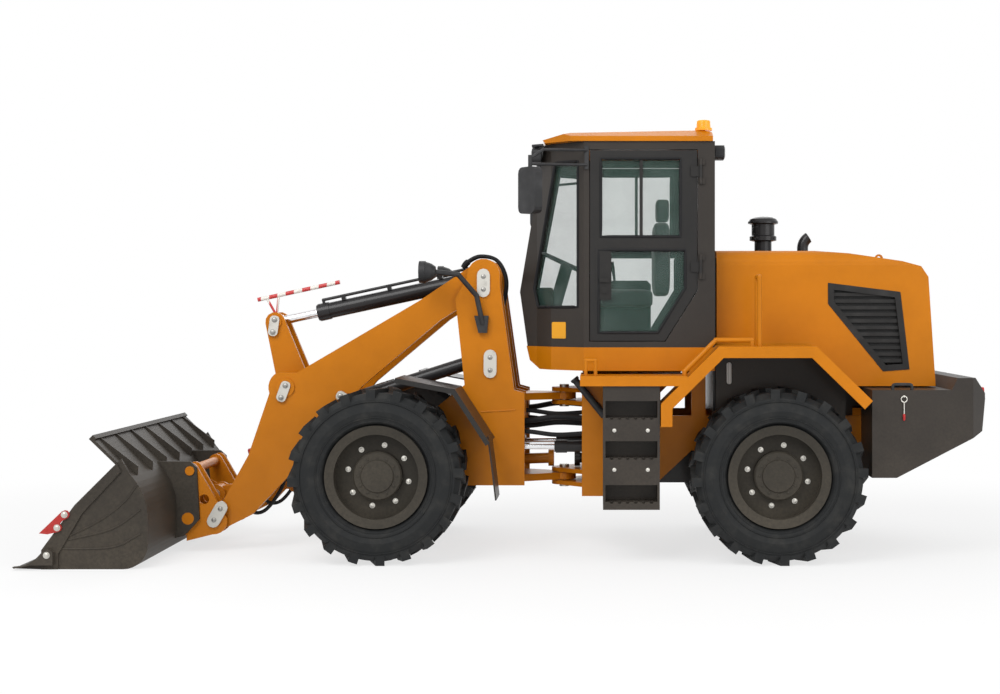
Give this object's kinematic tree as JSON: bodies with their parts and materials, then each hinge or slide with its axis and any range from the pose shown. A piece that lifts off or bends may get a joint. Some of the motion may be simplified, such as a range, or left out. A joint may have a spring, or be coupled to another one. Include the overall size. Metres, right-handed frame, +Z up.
{
  "type": "wheel loader",
  "caption": "Articulated wheel loader with closed cab, lift arms, lever-linkage bucket on a quick hitch, hinged doors and hood, and freely turning wheels.",
  "frame": {"origin": "on the ground under the middle of the whole machine's box", "axes": "+X forward, from the counterweight to the bucket; +Y to the machine's left; +Z up"},
  "size_m": [6.455, 2.3046, 3.0146],
  "materials": {
    "amber_lens": "gloss",
    "black_paint": "satin",
    "black_plastic": "matte",
    "dark_paint": "satin",
    "pin_steel": "brushed",
    "red_lens": "gloss",
    "red_paint": "gloss",
    "rim_paint": "satin",
    "rod_chrome": "polished",
    "seat_cloth": "matte",
    "tyre_rubber": "matte",
    "window_glass": "gloss",
    "yellow_paint": "gloss"
  },
  "bodies": {
    "rear": {"rear_frame": "yellow_paint", "hinge_pins": "pin_steel", "rear_axle": "yellow_paint", "transmission": "black_paint", "engine": "dark_paint", "counterweight": "dark_paint", "rear_fenders": "yellow_paint", "side_steps": "dark_paint", "side_panels": "dark_paint", "firewall": "black_paint", "cab_floor": "yellow_paint", "cab_frame": "dark_paint", "cab_glass": "window_glass", "cab_roof": "yellow_paint", "roof_lamps": "black_plastic", "rear_lamps": "red_lens", "beacon": "amber_lens", "mirrors": "black_plastic", "handrails": "yellow_paint", "seat": "seat_cloth", "steering_column": "black_plastic", "air_pipes": "black_paint"},
    "front": {"front_frame": "yellow_paint", "front_pins": "pin_steel", "front_axle": "yellow_paint", "front_fenders": "dark_paint", "front_lamps": "black_plastic"},
    "wheel_front_left": {"tyre_front_left": "tyre_rubber", "rim_front_left": "rim_paint"},
    "wheel_front_right": {"tyre_front_right": "tyre_rubber", "rim_front_right": "rim_paint"},
    "wheel_rear_left": {"tyre_rear_left": "tyre_rubber", "rim_rear_left": "rim_paint"},
    "wheel_rear_right": {"tyre_rear_right": "tyre_rubber", "rim_rear_right": "rim_paint"},
    "boom": {"boom": "yellow_paint", "tilt_barrel": "black_paint"},
    "bucket": {"bucket": "dark_paint", "bucket_edge": "dark_paint", "hitch": "yellow_paint", "hitch_pins": "pin_steel"},
    "lever": {"lever": "yellow_paint"},
    "link": {"tilt_link": "yellow_paint"},
    "tilt_rod": {"tilt_rod": "rod_chrome", "level_indicator": "red_paint"},
    "lift_barrels": {"lift_barrels": "black_paint"},
    "lift_rods": {"lift_rods": "rod_chrome"},
    "steer_barrel_left": {"steer_barrel_left": "black_paint"},
    "steer_rod_left": {"steer_rod_left": "rod_chrome"},
    "steer_barrel_right": {"steer_barrel_right": "black_paint"},
    "steer_rod_right": {"steer_rod_right": "rod_chrome"},
    "door_left": {"door_left": "dark_paint", "door_left_glass": "window_glass"},
    "door_right": {"door_right": "dark_paint", "door_right_glass": "window_glass"},
    "hood": {"hood": "yellow_paint", "hood_grilles": "black_plastic"}
  },
  "joints": [
    {"name": "steer", "type": "hinge", "parent": "rear", "child": "front", "pos_m": [-0.3475, 0, 0.8], "axis": [0, 0, 1], "range_deg": [-35, 35]},
    {"name": "spin_front_left", "type": "hinge", "parent": "front", "child": "wheel_front_left", "pos_m": [0.8825, 0.795, 0.588], "axis": [0, 1, 0], "continuous": true},
    {"name": "spin_front_right", "type": "hinge", "parent": "front", "child": "wheel_front_right", "pos_m": [0.8825, -0.795, 0.588], "axis": [0, 1, 0], "continuous": true},
    {"name": "spin_rear_left", "type": "hinge", "parent": "rear", "child": "wheel_rear_left", "pos_m": [-1.8025, 0.795, 0.588], "axis": [0, 1, 0], "continuous": true},
    {"name": "spin_rear_right", "type": "hinge", "parent": "rear", "child": "wheel_rear_right", "pos_m": [-1.8025, -0.795, 0.588], "axis": [0, 1, 0], "continuous": true},
    {"name": "boom_lift", "type": "hinge", "parent": "front", "child": "boom", "pos_m": [0.2095, 0, 1.945], "axis": [0, -1, 0], "range_deg": [0, 76]},
    {"name": "bucket_tilt", "type": "hinge", "parent": "boom", "child": "bucket", "pos_m": [2.1025, 0, 0.22], "axis": [0, 1, 0], "range_deg": [-43, 118]},
    {"name": "lever_swing", "type": "hinge", "parent": "boom", "child": "lever", "pos_m": [1.6075, 0, 1.155], "axis": [0, 1, 0], "range_deg": [-15, 6]},
    {"name": "link_swing", "type": "hinge", "parent": "bucket", "child": "link", "pos_m": [2.1695, 0, 0.372], "axis": [0, 1, 0], "range_deg": [-97, 36]},
    {"name": "tilt_rod_slide", "type": "slide", "parent": "boom", "child": "tilt_rod", "axis": [0.9775, 0, -0.2111], "range_m": [-0.12, 0.045]},
    {"name": "lift_barrel_swing", "type": "hinge", "parent": "front", "child": "lift_barrels", "pos_m": [0.1625, 0, 1.378], "axis": [0, -1, 0], "range_deg": [0, 69]},
    {"name": "lift_rod_slide", "type": "slide", "parent": "lift_barrels", "child": "lift_rods", "axis": [0.9521, 0, -0.3058], "range_m": [0, 0.69]},
    {"name": "steer_barrel_swing_left", "type": "hinge", "parent": "rear", "child": "steer_barrel_left", "pos_m": [-0.7775, 0.24, 0.73], "axis": [0, 0, 1], "range_deg": [-16, 16]},
    {"name": "steer_rod_slide_left", "type": "slide", "parent": "steer_barrel_left", "child": "steer_rod_left", "axis": [0.9997, 0.0263, 0], "range_m": [-0.155, 0.155]},
    {"name": "steer_barrel_swing_right", "type": "hinge", "parent": "rear", "child": "steer_barrel_right", "pos_m": [-0.7775, -0.24, 0.73], "axis": [0, 0, 1], "range_deg": [-16, 16]},
    {"name": "steer_rod_slide_right", "type": "slide", "parent": "steer_barrel_right", "child": "steer_rod_right", "axis": [0.9997, -0.0263, 0], "range_m": [-0.155, 0.155]},
    {"name": "door_left_swing", "type": "hinge", "parent": "rear", "child": "door_left", "pos_m": [-1.2925, 0.712, 2], "axis": [0, 0, 1], "range_deg": [0, 90]},
    {"name": "door_right_swing", "type": "hinge", "parent": "rear", "child": "door_right", "pos_m": [-1.2925, -0.712, 2], "axis": [0, 0, -1], "range_deg": [0, 90]},
    {"name": "hood_lift", "type": "hinge", "parent": "rear", "child": "hood", "pos_m": [-1.4005, 0, 2.098], "axis": [0, 1, 0], "range_deg": [0, 45]}
  ],
  "couplings": [
    {"joint": "lever_swing", "follows": "bucket_tilt", "ratio": -0.119},
    {"joint": "link_swing", "follows": "bucket_tilt", "ratio": -0.818},
    {"joint": "tilt_rod_slide", "follows": "bucket_tilt", "m_per_rad": -0.0569},
    {"joint": "lift_barrel_swing", "follows": "boom_lift", "ratio": 0.8954},
    {"joint": "lift_rod_slide", "follows": "boom_lift", "m_per_rad": 0.51842},
    {"joint": "steer_barrel_swing_left", "follows": "steer", "ratio": 0.44338},
    {"joint": "steer_rod_slide_left", "follows": "steer", "m_per_rad": -0.24744},
    {"joint": "steer_barrel_swing_right", "follows": "steer", "ratio": 0.44338},
    {"joint": "steer_rod_slide_right", "follows": "steer", "m_per_rad": 0.24744}
  ]
}
